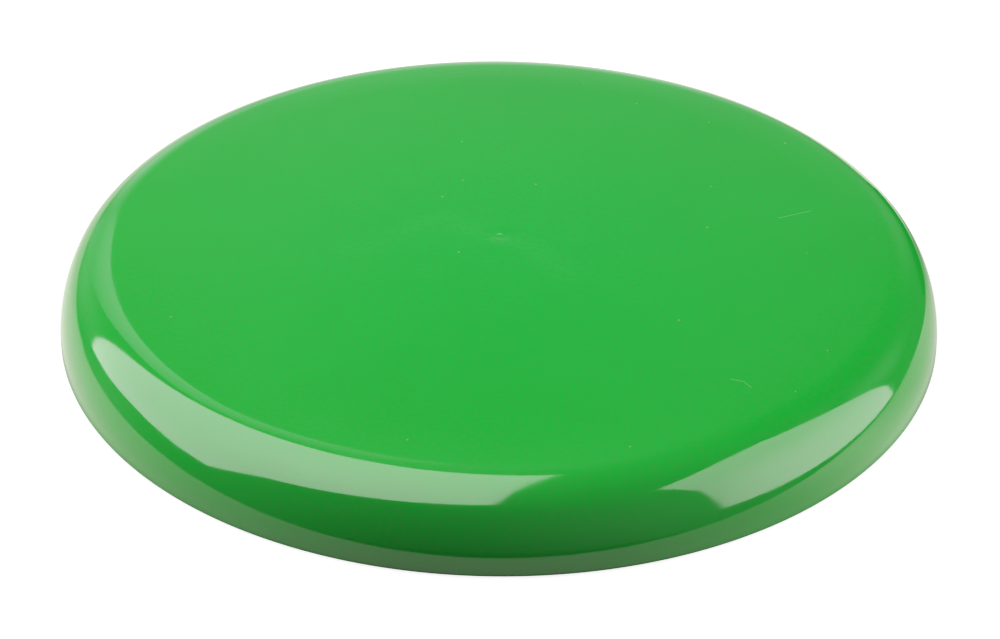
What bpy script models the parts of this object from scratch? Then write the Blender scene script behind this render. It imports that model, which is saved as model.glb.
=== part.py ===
"""Flying disc: a closed, one-piece injection-moulded throwing disc.

The whole disc is one turned wall: a flat flight plate, a rounded shoulder, a gently curved rim and a
rounded lip. Metres, +Z up. The origin is on the axis, in the plane that the rim stands on.
"""

import math

import bmesh
import bpy

# Outside of the disc.
DISC_RADIUS = 0.115
DISC_HEIGHT = 0.0215
SHOULDER_RADIUS = 0.013  # radius of the arc from the plate down to the rim
RIM_START = math.radians(30)  # how far above horizontal the outside faces where the rim's arc begins
RIM_RADIUS = 0.028  # radius of the gentler arc from the shoulder down to the widest point
FOOT_OUTER_ROUND = 0.0008

# Wall.
WALL_THICKNESS = 0.0018  # plate, shoulder and rim are one even wall
LIP_THICKNESS = 0.0042
LIP_TOP = 0.0036  # the thick lip keeps its full width up to here
INNER_RIM_END = math.radians(17)  # the rim's even wall ends here, and the blend to the lip begins
FOOT_INNER_ROUND = 0.0014

# Thickened spot under the centre of the plate, opposite the injection point.
GATE_PAD_RADIUS = 0.0040
GATE_PAD_HEIGHT = 0.0005
GATE_PAD_SLOPE = 0.0006

# Fineness of the turned surface.
TURN_STEPS = 96
SHOULDER_STEPS = 9
RIM_STEPS = 5
FOOT_STEPS = 3
BLEND_STEPS = 5
INNER_RIM_STEPS = 2
WELD_DISTANCE = 0.00001

PLASTIC_COLOUR = (0.035, 0.42, 0.055, 1.0)
PLASTIC_ROUGHNESS = 0.18


def clear_scene():
    for obj in list(bpy.data.objects):
        bpy.data.objects.remove(obj, do_unlink=True)


def arc(centre, radius, start, end, steps):
    """Points (r, z) on an arc, both ends included."""
    points = []
    for i in range(steps + 1):
        angle = start + (end - start) * i / steps
        points.append((centre[0] + radius * math.cos(angle), centre[1] + radius * math.sin(angle)))
    return points


def shoulder_centre():
    rim_reach = (RIM_RADIUS - SHOULDER_RADIUS) * (1.0 - math.cos(RIM_START))
    return (DISC_RADIUS - SHOULDER_RADIUS - rim_reach, DISC_HEIGHT - SHOULDER_RADIUS)


def rim_centre():
    """The rim's arc meets the shoulder's without a corner, so both centres lie on one line."""
    r, z = shoulder_centre()
    further_in = RIM_RADIUS - SHOULDER_RADIUS
    return (r - further_in * math.cos(RIM_START), z - further_in * math.sin(RIM_START))


def outer_side():
    """The outside, from the middle of the plate over the shoulder and down to the foot."""
    shoulder = arc(shoulder_centre(), SHOULDER_RADIUS, math.pi / 2, RIM_START, SHOULDER_STEPS)
    rim = arc(rim_centre(), RIM_RADIUS, RIM_START, 0.0, RIM_STEPS)
    foot = (DISC_RADIUS - FOOT_OUTER_ROUND, FOOT_OUTER_ROUND)
    foot_arc = arc(foot, FOOT_OUTER_ROUND, 0.0, -math.pi / 2, FOOT_STEPS)
    return [(0.0, DISC_HEIGHT)] + shoulder + rim[1:] + foot_arc


def inner_side():
    """The inside, from the foot up the lip and under the shoulder to the middle of the plate."""
    lip_r = DISC_RADIUS - LIP_THICKNESS
    foot = (lip_r + FOOT_INNER_ROUND, FOOT_INNER_ROUND)
    foot_arc = arc(foot, FOOT_INNER_ROUND, -math.pi / 2, -math.pi, FOOT_STEPS)
    rim_inside = RIM_RADIUS - WALL_THICKNESS
    rim = arc(rim_centre(), rim_inside, INNER_RIM_END, RIM_START, INNER_RIM_STEPS)
    shoulder_inside = SHOULDER_RADIUS - WALL_THICKNESS
    shoulder = arc(shoulder_centre(), shoulder_inside, RIM_START, math.pi / 2, SHOULDER_STEPS)
    return foot_arc + lip_blend(lip_r, rim[0]) + rim + shoulder[1:] + gate_pad()


def lip_blend(lip_r, wall_start):
    """The eased step from the lip's inner face out to the even wall above it."""
    wall_r, wall_z = wall_start
    points = []
    for i in range(BLEND_STEPS):
        share = i / BLEND_STEPS
        ease = (1.0 - math.cos(math.pi * share)) / 2
        points.append((lip_r + (wall_r - lip_r) * ease, LIP_TOP + (wall_z - LIP_TOP) * share))
    return points


def gate_pad():
    under = DISC_HEIGHT - WALL_THICKNESS
    return [
        (GATE_PAD_RADIUS + GATE_PAD_SLOPE, under),
        (GATE_PAD_RADIUS, under - GATE_PAD_HEIGHT),
        (0.0, under - GATE_PAD_HEIGHT),
    ]


def turned(name, outline, collection):
    """An object whose outline (r, z) is turned once round the Z axis."""
    shape = bmesh.new()
    verts = [shape.verts.new((r, 0.0, z)) for r, z in outline]
    for first, second in zip(verts, verts[1:]):
        shape.edges.new((first, second))
    mesh = bpy.data.meshes.new(name)
    shape.to_mesh(mesh)
    shape.free()
    obj = bpy.data.objects.new(name, mesh)
    collection.objects.link(obj)
    screw = obj.modifiers.new("Turn", "SCREW")
    screw.axis = "Z"
    screw.angle = 2 * math.pi
    screw.steps = TURN_STEPS
    screw.render_steps = TURN_STEPS
    screw.use_merge_vertices = True
    screw.merge_threshold = WELD_DISTANCE
    screw.use_smooth_shade = True
    return obj


def gloss_plastic():
    material = bpy.data.materials.new("green_plastic")
    material.use_nodes = True
    shader = material.node_tree.nodes["Principled BSDF"]
    shader.inputs["Base Color"].default_value = PLASTIC_COLOUR
    shader.inputs["Roughness"].default_value = PLASTIC_ROUGHNESS
    shader.inputs["Metallic"].default_value = 0.0
    material.diffuse_color = PLASTIC_COLOUR
    return material


def build():
    clear_scene()
    parts = bpy.data.collections.new("flying_disc")
    bpy.context.scene.collection.children.link(parts)
    disc = turned("disc", outer_side() + inner_side(), parts)
    disc.data.materials.append(gloss_plastic())


build()
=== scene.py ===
"""Looks of the flying disc: its finished mesh and plastic, and the studio that it is seen in.

Metres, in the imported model's frame: the disc stands on z = 0 with its axis on Z, and the viewer is at -Y.
"""

import math

import bpy
from mathutils import Matrix, Vector


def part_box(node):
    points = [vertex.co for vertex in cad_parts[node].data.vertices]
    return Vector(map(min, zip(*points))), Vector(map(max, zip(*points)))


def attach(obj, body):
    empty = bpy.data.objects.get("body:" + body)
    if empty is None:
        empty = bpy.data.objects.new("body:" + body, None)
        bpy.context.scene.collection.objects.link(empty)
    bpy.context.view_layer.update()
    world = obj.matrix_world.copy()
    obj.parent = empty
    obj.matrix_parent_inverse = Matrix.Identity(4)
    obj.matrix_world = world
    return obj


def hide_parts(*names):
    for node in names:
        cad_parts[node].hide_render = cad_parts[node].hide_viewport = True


# The same driving sizes as the CAD solid, whose radius and height come from its box.
SHOULDER_RADIUS = 0.013
RIM_START = math.radians(30)
RIM_RADIUS = 0.028
FOOT_OUTER_ROUND = 0.0008
WALL_THICKNESS = 0.0018
LIP_THICKNESS = 0.0042
LIP_TOP = 0.0036
INNER_RIM_END = math.radians(17)
FOOT_INNER_ROUND = 0.0014
GATE_PAD_RADIUS = 0.0040
GATE_PAD_HEIGHT = 0.0005
GATE_PAD_SLOPE = 0.0006

# The plate's outermost stretch, which eases down to the shoulder.
PLATE_EASE_WIDTH = 0.012
PLATE_EASE_TILT = math.radians(1.9)

# The gate: the cut-off injection point in the middle of the plate.
GATE_SCAR_RADIUS = 0.0006
GATE_SCAR_TOP = GATE_SCAR_RADIUS * 0.6
GATE_SCAR_HEIGHT = 0.00005
GATE_DIMPLE_RADIUS = 0.0016
GATE_DIMPLE_FLOOR = GATE_DIMPLE_RADIUS * 0.8
GATE_DIMPLE_DEPTH = 0.000025

# Fineness of the turned mesh.
TURN_STEPS = 480
SHOULDER_STEPS = 24
RIM_STEPS = 14
ROUND_STEPS = 8
BLEND_STEPS = 10
PLATE_STEPS = 22
EASE_STEPS = 12

# Camera: a long lens, a little left-side-down.
CAMERA_ELEVATION = math.radians(32.17)
CAMERA_DISTANCE_IN_RADII = 5.3
CAMERA_LENS = 82.4
CAMERA_SENSOR = 36.0
CAMERA_ROLL = math.radians(0.44)
AIM = Vector((0.0003, 0.0, -0.0047))

# Colours in the plastic.
BASE_GREEN = (0.011, 0.422, 0.0335)
FLOW_GREEN = (0.018, 0.442, 0.047)
BLUSH_GREEN = (0.018, 0.516, 0.064)
STREAK_GREEN = (0.050, 0.530, 0.095)
GRAIN_GREEN = (0.029, 0.394, 0.040)
SPECK = (0.30, 0.52, 0.24)
CLOUD_SPREAD = 0.025  # how much darker and lighter than BASE_GREEN the clouds are
GRAIN_AMOUNT = 0.6
SPECK_AMOUNT = 0.8
SCRATCH_AMOUNT = 0.28

# Colours that fade away from the gate: between which distances, and from which amount to which.
FLOW_FADE = (0.0, 0.09)
FLOW_AMOUNT = (0.55, 0.15)
BLUSH_FADE = (0.0, 0.12)
BLUSH_AMOUNT = (0.65, 0.05)
STREAK_FADE = (0.004, 0.040)
STREAK_AMOUNT = (0.22, 0.08)

# Noise cells to the metre.
CLOUD_CELLS = 28.0
BEND_CELLS = 45.0
WAVE_CELLS = 55.0
POLISHED_CELLS = 90.0
SPECK_CELLS = 200.0
PEEL_CELLS = 260.0
SATIN_CELLS = 350.0
GRAIN_CELLS = 700.0
POLISH_RING_CELLS = 700.0

# Between which of the noise's values its effect goes from nothing to all.
NOISE_SPAN = (0.3, 0.7)
FLOW_SPAN = (0.35, 0.7)
GRAIN_SPAN = (0.4, 0.7)

# How far round the noise the flow lines and the polishing rings go, and how much the flow drifts.
FLOW_TURN = 4.5
FLOW_DRIFT = 16.0
FLOW_ROUGHNESS = 0.6  # of the noise
POLISH_TURN = 4.0

# Specks: the chances between which a cell gets one, and where its soft edge lies, in cells.
SPECK_CHANCE = (0.84, 0.85)
SPECK_EDGE = (0.035, 0.065)

# How far a face leans outwards plus up, from all inside to all outside.
INSIDE_LEAN = (-0.6, -0.2)

# Marks on the plate: paths of points (x, y).
FLOW_STREAK = [(-0.038, -0.008), (-0.018, 0.010), (-0.002, 0.001), (0.007, -0.005), (0.017, -0.017)]
STREAK_REACH = 0.0075
STREAK_BEND = 0.012
SCRATCHES = [
    [(0.083, 0.014), (0.074, 0.010)],
    [(0.0965, 0.0), (0.0985, 0.0)],
    [(0.055, -0.0665), (0.058, -0.0675), (0.0595, -0.070)],
    [(0.057, 0.027), (0.0575, 0.0265)],
]
SCRATCH_REACH = 0.00022

# Heights of the surface's relief.
SCRATCH_DEPTH = 0.000015
PEEL_HEIGHT = 0.000008
WAVE_HEIGHT = 0.00003
POLISH_HEIGHT = 0.0000015
TURNING_PITCH = 0.0009
TURNING_HEIGHT = 0.000004

# Roughness, where the noise is lowest and where it is highest.
POLISHED = (0.06, 0.10)
SATIN = (0.24, 0.34)
SCRATCH_ROUGHNESS = 0.3  # added
PLASTIC_IOR = 1.5

WHITE = (1.0, 1.0, 1.0)

# The white floor: its own glow round the disc and far away, and the distances between which it falls.
SWEEP_GLOW = 1.25
FAR_SWEEP_GLOW = 0.72
SWEEP_FADE = (0.32, 1.4)
SWEEP_RADIUS = 2.6
SWEEP_BEND = 1.2
SWEEP_TOP = 2.5
SWEEP_STEPS = 64
SWEEP_BEND_STEPS = 10
SWEEP_DROP = 0.0004  # below the foot
SWEEP_GREY = (0.5, 0.5, 0.5)
SWEEP_ROUGHNESS = 0.9
SWEEP_SPECULAR = 0.1

# The table top that the rim mirrors, as a glowing panel with painted light: half an ellipse in front, and
# corners at the back.
BOARD_FRONT = 1.13  # in radii of the disc, like the side
BOARD_SIDE = 1.53
BOARD_STEPS = 24
BOARD_BACK = [(0.149, 0.04), (0.142, 0.13), (0.82, 2.0), (-1.6, 2.2), (-0.43, 0.40), (-0.29, 0.165)]
BOARD_DROP = 0.0002
BOARD_GLOW_COLOUR = (1.0, 0.97, 0.84)
BOARD_RADIANCE = 1.2
BOARD_POOLS = [  # point and reach in metres, and the radiance that it adds
    ((-0.135, -0.045, 0.0), 0.11, 0.42),
    ((0.125, -0.080, 0.0), 0.06, 0.9),
    ((0.130, 0.048, 0.0), 0.05, -0.95),
    ((0.124, 0.002, 0.0), 0.04, -0.25),
    ((0.092, 0.108, 0.0), 0.06, 1.8),
    ((0.020, 0.145, 0.0), 0.09, 1.5),
    ((0.119, -0.042, 0.0), 0.035, -0.25),
    ((0.060, -0.115, 0.0), 0.06, -0.12),
    ((0.120, 0.240, 0.0), 0.16, 1.2),
]
# The board's painted contact shadow: its glow is cut down where the disc's rim stands on it.
CONTACT_SHADE = 0.1  # what is left of the board's radiance under the rim
CONTACT_START = -0.001  # from the disc's edge
CONTACT_END = 0.0025

# The room: a dome that only the gloss sees.
DOME_RADIUS = 4.0
DOME_DEPTH = 15.0  # degrees below the horizon
DOME_RINGS = 18
DOME_STEPS = 48
ROOM_RADIANCE = 0.10
ROOM_POOLS = [  # azimuth, elevation and reach in degrees, and the radiance that it adds
    # The wall behind, white at its foot.
    (-178, 10, 24, 0.95),
    (176, 0, 12, 1.2),
    (-178, 32, 28, 0.09),
    (-168, 27, 10, 0.10),
    (168, 24, 9, 0.18),
    (180, 33, 9, -0.14),
    (-160, 5, 10, 0.9),
    (-161, 14, 13, 0.60),
    (-174, 17, 9, 0.20),
    (176, 16, 10, 0.35),
    (170, 10, 10, 0.25),
    # Behind, to the right and to the left.
    (145, 45, 32, -0.11),
    (156, 14, 19, 0.24),
    (145, -6, 8, -1.6),
    (156, -6, 8, -1.6),
    (-140, 12, 24, 0.45),
    (-170, 60, 26, 0.35),
    # The two sides.
    (112, 20, 18, 0.40),
    (35, 5, 50, 0.22),
    (-105, -6, 25, 0.22),
]

# Lights that only the gloss sees: corners, and pools as on the board.
LEFT_BANK = [
    (-1.68, -0.62, 0.10), (-0.02, -1.40, 1.20), (0.22, 0.32, 2.0),
    (-1.17, 0.91, 1.05), (-2.37, 1.25, 0.19),
]
LEFT_BANK_WHITE = (1.0, 0.985, 0.94)
LEFT_BANK_RADIANCE = 5.8
LEFT_BANK_POOLS = [((-0.9, -0.4, 1.4), 0.9, 0.9), ((-2.05, 0.3, 0.13), 0.35, -1.0)]
RIGHT_BANK = [
    (1.72, -1.34, -0.17), (1.77, -1.90, 2.03), (1.66, -0.45, 2.13),
    (1.58, 0.06, 1.95), (1.56, 0.20, 1.50), (1.56, 0.47, -0.19),
]
RIGHT_BANK_WHITE = (1.0, 0.975, 0.92)
RIGHT_BANK_RADIANCE = 4.25
RIGHT_BANK_POOLS = [((1.66, -0.5, 0.2), 1.3, 1.45)]
REAR_PANEL_DISTANCE = 3.0
REAR_PANEL = [  # azimuth and elevation in degrees
    (-163.4, 29), (-163.6, 36), (-162.3, 43), (-172, 45), (-178, 52),
    (-163, 60), (-150, 56), (-141, 46), (-143, 38), (-140, 28),
    (-142, 15), (-145, 4), (-148, -4), (-152, 12), (-158, 22),
]
REAR_PANEL_RADIANCE = 0.58
REAR_PANEL_POOL = (-158, 37, 1.3, 0.95)  # azimuth, elevation, reach in metres, added radiance

# Lights that only the plastic's colour and the floor see.
FILL_LIGHTS = [  # name, azimuth, elevation, distance, width, height, radiance
    ("left_fill", -97.5, 37.0, 1.20, 1.20, 1.20, 4.6),
    ("right_fill", 90.0, 27.0, 2.0, 1.87, 1.47, 5.3),
]
WORLD_GREY = (0.02, 0.02, 0.02)

# The camera's answer to light: full white, and the curve as pairs of radiance and what is shown of it.
WHITE_POINT = 1.5
TONE_CURVE = [
    (0.05, 0.058), (0.15, 0.168), (0.30, 0.320), (0.45, 0.45),
    (0.60, 0.553), (0.73, 0.615), (0.90, 0.73),
]


# The disc's outline.


def arc(centre, radius, start, end, steps):
    """Points (r, z) on an arc, both ends included."""
    points = []
    for i in range(steps + 1):
        angle = start + (end - start) * i / steps
        points.append((centre[0] + radius * math.cos(angle), centre[1] + radius * math.sin(angle)))
    return points


def spread(start, end, steps):
    """Points (r, z) on a straight line, without its end."""
    points = []
    for i in range(steps):
        share = i / steps
        points.append((start[0] + (end[0] - start[0]) * share, start[1] + (end[1] - start[1]) * share))
    return points


def shoulder_centre():
    rim_reach = (RIM_RADIUS - SHOULDER_RADIUS) * (1.0 - math.cos(RIM_START))
    ease_drop = PLATE_EASE_WIDTH * math.tan(PLATE_EASE_TILT) / 2
    z = disc_height - ease_drop - SHOULDER_RADIUS * math.cos(PLATE_EASE_TILT)
    return (disc_radius - SHOULDER_RADIUS - rim_reach, z)


def rim_centre():
    r, z = shoulder_centre()
    further_in = RIM_RADIUS - SHOULDER_RADIUS
    return (r - further_in * math.cos(RIM_START), z - further_in * math.sin(RIM_START))


def gate_scar():
    """The injection point: a low sheared stub in a shallow dimple."""
    top = disc_height
    dimple = top - GATE_DIMPLE_DEPTH
    return [
        (0.0, top + GATE_SCAR_HEIGHT),
        (GATE_SCAR_TOP, top + GATE_SCAR_HEIGHT),
        (GATE_SCAR_RADIUS, dimple),
        (GATE_DIMPLE_FLOOR, dimple),
        (GATE_DIMPLE_RADIUS, top),
    ]


def eased_plate(inner_end, shoulder_start):
    """One face of the plate, from its inner end outwards: level, then easing down to the shoulder."""
    level = inner_end[1]
    ease_start = shoulder_start[0] - PLATE_EASE_WIDTH
    points = spread(inner_end, (ease_start, level), PLATE_STEPS)
    for i in range(EASE_STEPS):
        share = i / EASE_STEPS
        drop = (level - shoulder_start[1]) * share ** 2
        points.append((ease_start + PLATE_EASE_WIDTH * share, level - drop))
    return points


def lip_blend(lip_r, wall_start):
    """The inner wall's soft swell into the lip, without its upper end."""
    wall_r, wall_z = wall_start
    points = []
    for i in range(BLEND_STEPS):
        share = i / BLEND_STEPS
        ease = (1.0 - math.cos(math.pi * share)) / 2
        points.append((lip_r + (wall_r - lip_r) * ease, LIP_TOP + (wall_z - LIP_TOP) * share))
    return points


def outer_side():
    """From the axis over the plate, the shoulder and the rim, down to the foot."""
    shoulder_top = math.pi / 2 - PLATE_EASE_TILT
    shoulder = arc(shoulder_centre(), SHOULDER_RADIUS, shoulder_top, RIM_START, SHOULDER_STEPS)
    rim = arc(rim_centre(), RIM_RADIUS, RIM_START, 0.0, RIM_STEPS)
    foot = (disc_radius - FOOT_OUTER_ROUND, FOOT_OUTER_ROUND)
    foot_arc = arc(foot, FOOT_OUTER_ROUND, 0.0, -math.pi / 2, ROUND_STEPS)
    plate = eased_plate((GATE_DIMPLE_RADIUS, disc_height), shoulder[0])
    return gate_scar() + plate[1:] + shoulder + rim[1:] + foot_arc


def inner_side():
    """From the foot up inside the rim, and under the plate back to the axis."""
    lip_r = disc_radius - LIP_THICKNESS
    foot = (lip_r + FOOT_INNER_ROUND, FOOT_INNER_ROUND)
    foot_arc = arc(foot, FOOT_INNER_ROUND, -math.pi / 2, -math.pi, ROUND_STEPS)
    rim_inside = RIM_RADIUS - WALL_THICKNESS
    rim = arc(rim_centre(), rim_inside, INNER_RIM_END, RIM_START, RIM_STEPS // 2)
    shoulder_inside = SHOULDER_RADIUS - WALL_THICKNESS
    shoulder_top = math.pi / 2 - PLATE_EASE_TILT
    shoulder = arc(shoulder_centre(), shoulder_inside, RIM_START, shoulder_top, SHOULDER_STEPS)
    under = disc_height - WALL_THICKNESS
    plate = eased_plate((GATE_PAD_RADIUS + GATE_PAD_SLOPE, under), shoulder[-1])
    pad = [(GATE_PAD_RADIUS, under - GATE_PAD_HEIGHT), (0.0, under - GATE_PAD_HEIGHT)]
    return foot_arc + lip_blend(lip_r, rim[0]) + rim + shoulder[1:] + plate[::-1] + pad


def lathe(name, outline, steps):
    """A new object: the outline (r, z) turned once round Z. It starts on the axis, and may end there too."""
    closed = outline[-1][0] == 0.0
    rings = outline[1:-1] if closed else outline[1:]
    verts = [(0.0, 0.0, outline[0][1])]
    for r, z in rings:
        for step in range(steps):
            angle = 2 * math.pi * step / steps
            verts.append((r * math.cos(angle), r * math.sin(angle), z))
    last_ring = 1 + (len(rings) - 1) * steps
    faces = []
    for step in range(steps):
        after = (step + 1) % steps
        faces.append((0, 1 + step, 1 + after))
        for ring in range(1, last_ring, steps):
            further = ring + steps
            faces.append((ring + step, further + step, further + after, ring + after))
        if closed:
            faces.append((last_ring + step, len(verts), last_ring + after))
    if closed:
        verts.append((0.0, 0.0, outline[-1][1]))
    return mesh_object(name, verts, faces)


def mesh_object(name, verts, faces):
    mesh = bpy.data.meshes.new(name)
    mesh.from_pydata(verts, [], faces)
    obj = bpy.data.objects.new(name, mesh)
    bpy.context.scene.collection.objects.link(obj)
    return obj


# Materials.


class Nodes:
    """Short calls for building one material's node tree."""

    def __init__(self, name):
        self.material = bpy.data.materials.new(name)
        self.material.use_nodes = True
        self.tree = self.material.node_tree
        self.shader = self.tree.nodes["Principled BSDF"]

    def add(self, kind, inputs=None, **settings):
        node = self.tree.nodes.new(kind)
        for key, value in settings.items():
            setattr(node, key, value)
        for key, value in (inputs or {}).items():
            self.put(node.inputs[key], value)
        return node

    def put(self, socket, value):
        if isinstance(value, bpy.types.NodeSocket):
            self.tree.links.new(value, socket)
        else:
            socket.default_value = value

    def place(self):
        """Where on the object a point is."""
        return self.add("ShaderNodeTexCoord").outputs["Object"]

    def math(self, operation, a, b=0.0, clamp=False):
        node = self.add("ShaderNodeMath", {0: a, 1: b}, operation=operation, use_clamp=clamp)
        return node.outputs[0]

    def vector(self, operation, a, b=(0.0, 0.0, 0.0), output="Vector"):
        return self.add("ShaderNodeVectorMath", {0: a, 1: b}, operation=operation).outputs[output]

    def scaled(self, a, scale):
        node = self.add("ShaderNodeVectorMath", operation="SCALE")
        self.put(node.inputs["Vector"], a)
        self.put(node.inputs["Scale"], scale)
        return node.outputs["Vector"]

    def noise(self, where, scale, detail=3.0, roughness=0.5):
        inputs = {"Vector": where, "Scale": scale, "Detail": detail, "Roughness": roughness}
        return self.add("ShaderNodeTexNoise", inputs).outputs["Fac"]

    def noise_colour(self, where, scale):
        inputs = {"Vector": where, "Scale": scale, "Detail": 1.0}
        return self.add("ShaderNodeTexNoise", inputs).outputs["Color"]

    def remap(self, value, low, high, to_low=0.0, to_high=1.0):
        inputs = {0: value, 1: low, 2: high, 3: to_low, 4: to_high}
        return self.add("ShaderNodeMapRange", inputs, interpolation_type="SMOOTHSTEP").outputs[0]

    def mix(self, amount, a, b):
        node = self.add("ShaderNodeMix", data_type="RGBA")
        self.put(node.inputs["Factor"], amount)
        self.put(node.inputs["A"], a)
        self.put(node.inputs["B"], b)
        return node.outputs["Result"]

    def near_line(self, where, start, end, reach):
        """1 on a straight line between two points, falling smoothly to 0 at the reach."""
        along = Vector(end) - Vector(start)
        offset = self.vector("SUBTRACT", where, start)
        covered = self.vector("DOT_PRODUCT", offset, along, "Value")
        share = self.math("DIVIDE", covered, along.length_squared, clamp=True)
        foot = self.scaled(along, share)
        distance = self.vector("LENGTH", self.vector("SUBTRACT", offset, foot), output="Value")
        return self.remap(distance, 0.0, reach, 1.0, 0.0)

    def near_path(self, where, path, reach):
        """The same along a path of points (x, y) on the plate."""
        points = [(x, y, disc_height) for x, y in path]
        nearest = 0.0
        for start, end in zip(points, points[1:]):
            nearest = self.math("MAXIMUM", self.near_line(where, start, end, reach), nearest)
        return nearest


class Glow(Nodes):
    """An emission material whose strength may follow the place on the surface."""

    def __init__(self, name, radiance=1.0, colour=WHITE):
        super().__init__(name)
        self.tree.nodes.remove(self.shader)
        self.shader = self.add("ShaderNodeEmission", {"Color": rgba(colour), "Strength": radiance})
        self.put(self.tree.nodes["Material Output"].inputs["Surface"], self.shader.outputs[0])

    def pools(self, base, pools):
        """The radiance: even, with soft round pools. Each is a point, its reach and the radiance it adds."""
        where = self.place()
        total = base
        for point, reach, added in pools:
            distance = self.vector("DISTANCE", where, point, "Value")
            total = self.math("ADD", self.remap(distance, 0.0, reach, added, 0.0), total)
        total = self.math("MAXIMUM", total, 0.0)
        self.put(self.shader.inputs["Strength"], total)
        return total


def rgba(colour, scale=1.0):
    return (colour[0] * scale, colour[1] * scale, colour[2] * scale, 1.0)


def inner_side_mask(n, where):
    """1 on the faces that look down or towards the axis, and 0 on the outer faces."""
    normal = n.add("ShaderNodeTexCoord").outputs["Normal"]
    level = n.vector("MULTIPLY", where, (1.0, 1.0, 0.0))
    outward = n.vector("NORMALIZE", level)
    lean = n.vector("DOT_PRODUCT", normal, n.vector("ADD", outward, (0.0, 0.0, 1.0)), "Value")
    return n.remap(lean, *INSIDE_LEAN, 1.0, 0.0)


def flow_lines(n, where):
    """Spokes from the axis, drawn out and bent: the plastic's flow away from the gate."""
    spokes = n.vector("MULTIPLY", n.vector("NORMALIZE", where), (FLOW_TURN, FLOW_TURN, 0.0))
    drifted = n.vector("ADD", spokes, n.scaled(where, FLOW_DRIFT))
    return n.remap(n.noise(drifted, 1.0, roughness=FLOW_ROUGHNESS), *FLOW_SPAN)


def flow_streak(n, where):
    bend = n.vector("SUBTRACT", n.noise_colour(where, BEND_CELLS), (0.5, 0.5, 0.5))
    bent = n.vector("ADD", where, n.scaled(bend, STREAK_BEND))
    return n.near_path(bent, FLOW_STREAK, STREAK_REACH)


def specks(n, where):
    """A small round speck in about one cell of six."""
    cells = n.add("ShaderNodeTexVoronoi", {"Vector": where, "Scale": SPECK_CELLS})
    chance = n.add("ShaderNodeSeparateColor", {"Color": cells.outputs["Color"]}).outputs[0]
    chosen = n.remap(chance, *SPECK_CHANCE)
    return n.math("MULTIPLY", n.remap(cells.outputs["Distance"], *SPECK_EDGE, 1.0, 0.0), chosen)


def plastic_colour(n, where):
    """The green with its slow clouds, its flow away from the gate, its grain and its pale specks."""
    from_gate = n.vector("LENGTH", n.vector("SUBTRACT", where, (0.0, 0.0, disc_height)), output="Value")
    clouds = n.remap(n.noise(where, CLOUD_CELLS, 2.0), *NOISE_SPAN)
    colour = n.mix(clouds, rgba(BASE_GREEN, 1 - CLOUD_SPREAD), rgba(BASE_GREEN, 1 + CLOUD_SPREAD))

    flow = n.math("MULTIPLY", flow_lines(n, where), n.remap(from_gate, *FLOW_FADE, *FLOW_AMOUNT))
    colour = n.mix(flow, colour, rgba(FLOW_GREEN))

    blush = n.remap(from_gate, *BLUSH_FADE, *BLUSH_AMOUNT)
    colour = n.mix(blush, colour, rgba(BLUSH_GREEN))

    streak = n.math("MULTIPLY", flow_streak(n, where), n.remap(from_gate, *STREAK_FADE, *STREAK_AMOUNT))
    colour = n.mix(streak, colour, rgba(STREAK_GREEN))

    grain = n.remap(n.noise(where, GRAIN_CELLS, 2.0), *GRAIN_SPAN)
    colour = n.mix(n.math("MULTIPLY", grain, GRAIN_AMOUNT), colour, rgba(GRAIN_GREEN))
    return n.mix(n.math("MULTIPLY", specks(n, where), SPECK_AMOUNT), colour, rgba(SPECK))


def scratches(n, where):
    marks = 0.0
    for path in SCRATCHES:
        marks = n.math("MAXIMUM", n.near_path(where, path, SCRATCH_REACH), marks)
    return marks


def plastic_roughness(n, where, inside, scratched):
    polished = n.remap(n.noise(where, POLISHED_CELLS), *NOISE_SPAN, *POLISHED)
    satin = n.remap(n.noise(where, SATIN_CELLS), *NOISE_SPAN, *SATIN)
    roughness = n.math("ADD", polished, n.math("MULTIPLY", inside, n.math("SUBTRACT", satin, polished)))
    return n.math("ADD", roughness, n.math("MULTIPLY", scratched, SCRATCH_ROUGHNESS))


def plastic_relief(n, where, inside, scratched):
    """Height in metres: orange peel, slow waves, polishing rings, turning marks inside and the scratches."""
    level = n.vector("MULTIPLY", where, (1.0, 1.0, 0.0))
    radius = n.vector("LENGTH", level, output="Value")
    turn = n.scaled(n.vector("NORMALIZE", level), POLISH_TURN)
    lift = n.vector("DOT_PRODUCT", where, (0.0, 0.0, 1.0), "Value")
    ring = n.math("MULTIPLY", n.math("SUBTRACT", radius, lift), POLISH_RING_CELLS)
    ring_place = n.add("ShaderNodeCombineXYZ", {"Z": ring}).outputs["Vector"]
    polishing = n.noise(n.vector("ADD", turn, ring_place), 1.0, 2.0)
    turning = n.math("SINE", n.math("MULTIPLY", radius, 2 * math.pi / TURNING_PITCH))
    height = n.math("MULTIPLY", n.noise(where, PEEL_CELLS, 2.0), PEEL_HEIGHT)
    height = n.math("ADD", height, n.math("MULTIPLY", n.noise(where, WAVE_CELLS, 1.0), WAVE_HEIGHT))
    height = n.math("ADD", height, n.math("MULTIPLY", n.math("MULTIPLY", turning, inside), TURNING_HEIGHT))
    height = n.math("ADD", height, n.math("MULTIPLY", polishing, POLISH_HEIGHT))
    return n.math("SUBTRACT", height, n.math("MULTIPLY", scratched, SCRATCH_DEPTH))


def green_plastic():
    """Glossy injection-moulded plastic: polished outside, satin with turning marks inside."""
    n = Nodes("moulded_green")
    where = n.place()
    inside = inner_side_mask(n, where)
    scratched = scratches(n, where)
    colour = n.mix(n.math("MULTIPLY", scratched, SCRATCH_AMOUNT), plastic_colour(n, where), rgba(SPECK))
    n.put(n.shader.inputs["Base Color"], colour)
    n.put(n.shader.inputs["Roughness"], plastic_roughness(n, where, inside, scratched))
    n.shader.inputs["IOR"].default_value = PLASTIC_IOR
    height = plastic_relief(n, where, inside, scratched)
    bump = n.add("ShaderNodeBump", {"Strength": 1.0, "Distance": 1.0, "Height": height})
    n.put(n.shader.inputs["Normal"], bump.outputs["Normal"])
    return n.material


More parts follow.
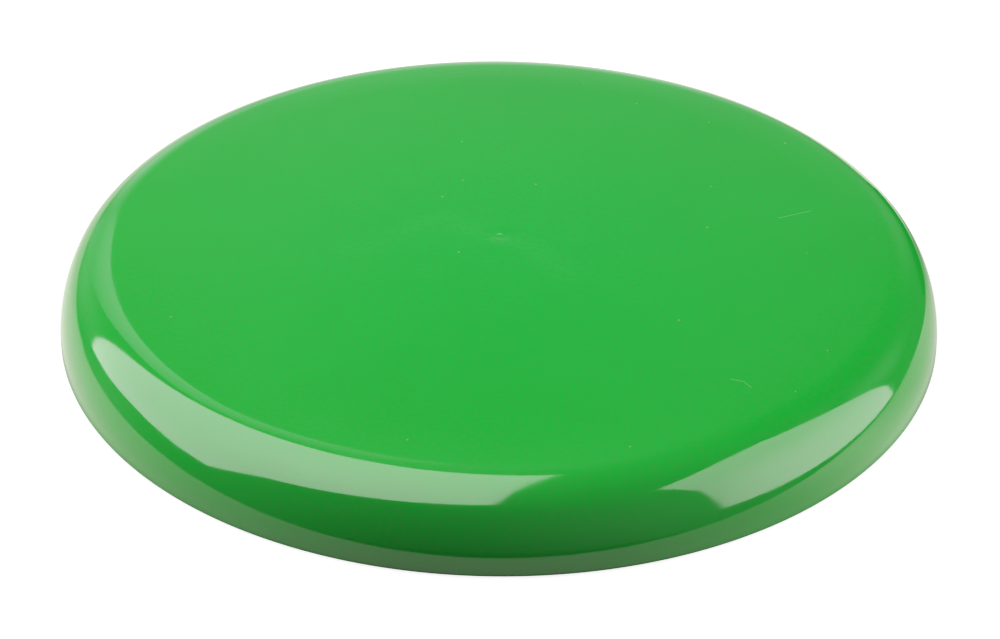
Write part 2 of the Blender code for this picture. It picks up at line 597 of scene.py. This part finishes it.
def sweep_paper():
    """Matt, with a painted glow of its own: pure white round the disc and a little dimmer further away."""
    n = Nodes("sweep_paper")
    n.shader.inputs["Base Color"].default_value = rgba(SWEEP_GREY)
    n.shader.inputs["Roughness"].default_value = SWEEP_ROUGHNESS
    n.shader.inputs["Specular IOR Level"].default_value = SWEEP_SPECULAR
    n.shader.inputs["Emission Color"].default_value = rgba(WHITE)
    from_axis = n.vector("LENGTH", n.place(), output="Value")
    # Painted fall-off: the floor's glow dims with distance from the disc.
    n.put(n.shader.inputs["Emission Strength"], n.remap(from_axis, *SWEEP_FADE, SWEEP_GLOW, FAR_SWEEP_GLOW))
    return n.material


# Studio.


def staged(obj, material):
    obj.data.materials.append(material)
    return obj


def panel(name, corners, material):
    return staged(mesh_object(name, corners, [tuple(range(len(corners)))]), material)


def toward(azimuth, elevation, distance):
    """The point seen from the disc in a direction. Azimuth 0 is towards the viewer and 90 is to the right."""
    turn, lift = math.radians(azimuth), math.radians(elevation)
    level = math.cos(lift)
    return Vector((level * math.sin(turn), -level * math.cos(turn), math.sin(lift))) * distance


def mirrored(obj):
    """Seen only in the gloss of the disc."""
    obj.visible_camera = False
    obj.visible_diffuse = False
    obj.visible_shadow = False


def fill_light(name, azimuth, elevation, distance, width, height, radiance):
    """A panel that faces the disc. It lights the disc and the floor softly, and the gloss doesn't see it."""
    middle = toward(azimuth, elevation, distance)
    side = middle.cross(Vector((0.0, 0.0, 1.0))).normalized() * width / 2
    up = middle.cross(side).normalized() * height / 2
    corners = [middle - side - up, middle + side - up, middle + side + up, middle - side + up]
    obj = panel(name, corners, Glow(name, radiance).material)
    obj.visible_camera = False
    obj.visible_glossy = False
    obj.visible_shadow = False


def sweep():
    """The pale floor, which curves up into a backdrop all round."""
    flat = SWEEP_RADIUS - SWEEP_BEND
    bend = arc((flat, SWEEP_BEND), SWEEP_BEND, -math.pi / 2, 0.0, SWEEP_BEND_STEPS)
    outline = [(0.0, 0.0)] + bend + [(SWEEP_RADIUS, SWEEP_TOP)]
    obj = staged(lathe("sweep", outline, SWEEP_STEPS), sweep_paper())
    obj.data.shade_smooth()
    obj.location.z = -SWEEP_DROP
    obj.visible_glossy = False
    obj.visible_diffuse = False


def board():
    """The table top that the rim mirrors, as a glowing panel: its light, its pools and its contact shadow
    under the rim are painted into its glow. Rounded in front and opening towards the back.
    """
    outline = []
    for i in range(BOARD_STEPS + 1):
        angle = math.pi * (i / BOARD_STEPS - 1)
        x, y = BOARD_SIDE * math.cos(angle), BOARD_FRONT * math.sin(angle)
        outline.append((x * disc_radius, y * disc_radius, 0.0))
    outline += [(x, y, 0.0) for x, y in BOARD_BACK]
    glow = Glow("board_glow", colour=BOARD_GLOW_COLOUR)
    light = glow.pools(BOARD_RADIANCE, BOARD_POOLS)
    # Painted contact shadow: the board's glow is dimmed under the rim.
    from_edge = glow.math("SUBTRACT", glow.vector("LENGTH", glow.place(), output="Value"), disc_radius)
    painted_contact_shadow = glow.remap(from_edge, CONTACT_START, CONTACT_END, CONTACT_SHADE, 1.0)
    glow.put(glow.shader.inputs["Strength"], glow.math("MULTIPLY", light, painted_contact_shadow))
    obj = panel("board", outline, glow.material)
    obj.location.z = -BOARD_DROP
    mirrored(obj)


def dome():
    """The dim room all round, which the plate and the shoulder mirror."""
    outline = arc((0.0, 0.0), DOME_RADIUS, math.pi / 2, -math.radians(DOME_DEPTH), DOME_RINGS)
    pools = []
    for azimuth, elevation, reach, added in ROOM_POOLS:
        chord = 2 * DOME_RADIUS * math.sin(math.radians(reach) / 2)
        pools.append((toward(azimuth, elevation, DOME_RADIUS), chord, added))
    glow = Glow("dome_glow")
    glow.pools(ROOM_RADIANCE, pools)
    mirrored(staged(lathe("dome", outline, DOME_STEPS), glow.material))


def bank(name, corners, white, radiance, pools):
    """A bright panel with pools of its own."""
    glow = Glow(name, colour=white)
    glow.pools(radiance, pools)
    mirrored(panel(name, corners, glow.material))


def lights():
    bank("left_bank", LEFT_BANK, LEFT_BANK_WHITE, LEFT_BANK_RADIANCE, LEFT_BANK_POOLS)
    bank("right_bank", RIGHT_BANK, RIGHT_BANK_WHITE, RIGHT_BANK_RADIANCE, RIGHT_BANK_POOLS)
    corners = [toward(azimuth, elevation, REAR_PANEL_DISTANCE) for azimuth, elevation in REAR_PANEL]
    azimuth, elevation, reach, added = REAR_PANEL_POOL
    pool = (toward(azimuth, elevation, REAR_PANEL_DISTANCE), reach, added)
    bank("rear_panel", corners, WHITE, REAR_PANEL_RADIANCE, [pool])
    for light in FILL_LIGHTS:
        fill_light(*light)
    world = bpy.data.worlds.new("studio")
    bpy.context.scene.world = world
    world.use_nodes = True
    world.node_tree.nodes["Background"].inputs["Color"].default_value = rgba(WORLD_GREY)


def camera():
    data = bpy.data.cameras.new("camera")
    data.lens = CAMERA_LENS
    data.sensor_width = CAMERA_SENSOR
    obj = bpy.data.objects.new("camera", data)
    bpy.context.scene.collection.objects.link(obj)
    distance = CAMERA_DISTANCE_IN_RADII * disc_radius
    eye = Vector((0.0, -math.cos(CAMERA_ELEVATION), math.sin(CAMERA_ELEVATION))) * distance
    look = (AIM - eye).normalized()
    right = look.cross(Vector((0.0, 0.0, 1.0))).normalized()
    up = right.cross(look)
    axes = Matrix((right, up, -look)).transposed() @ Matrix.Rotation(CAMERA_ROLL, 3, "Z")
    obj.matrix_world = Matrix.Translation(eye) @ axes.to_4x4()
    bpy.context.scene.camera = obj


def tone():
    """A camera's soft shoulder: highlights are held back, and white stays white."""
    view = bpy.context.scene.view_settings
    view.view_transform = "Standard"
    view.use_curve_mapping = True
    view.curve_mapping.white_level = (WHITE_POINT, WHITE_POINT, WHITE_POINT)
    curve = view.curve_mapping.curves[3]
    for radiance, shown in TONE_CURVE:
        curve.points.new(radiance / WHITE_POINT, shown)
    view.curve_mapping.update()


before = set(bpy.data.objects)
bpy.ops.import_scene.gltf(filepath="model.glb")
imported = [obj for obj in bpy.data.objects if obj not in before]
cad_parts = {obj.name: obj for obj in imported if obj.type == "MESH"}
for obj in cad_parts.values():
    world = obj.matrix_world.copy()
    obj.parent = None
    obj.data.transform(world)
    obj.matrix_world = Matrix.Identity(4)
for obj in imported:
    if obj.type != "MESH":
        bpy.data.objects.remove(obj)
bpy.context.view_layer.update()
low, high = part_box("disc")
disc_radius = (high.x - low.x) / 2
disc_height = high.z

disc = lathe("moulded_disc", outer_side() + inner_side(), TURN_STEPS)
disc.data.shade_smooth()
disc.data.materials.append(green_plastic())
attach(disc, "root")
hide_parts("disc")

sweep()
board()
dome()
lights()
camera()
tone()
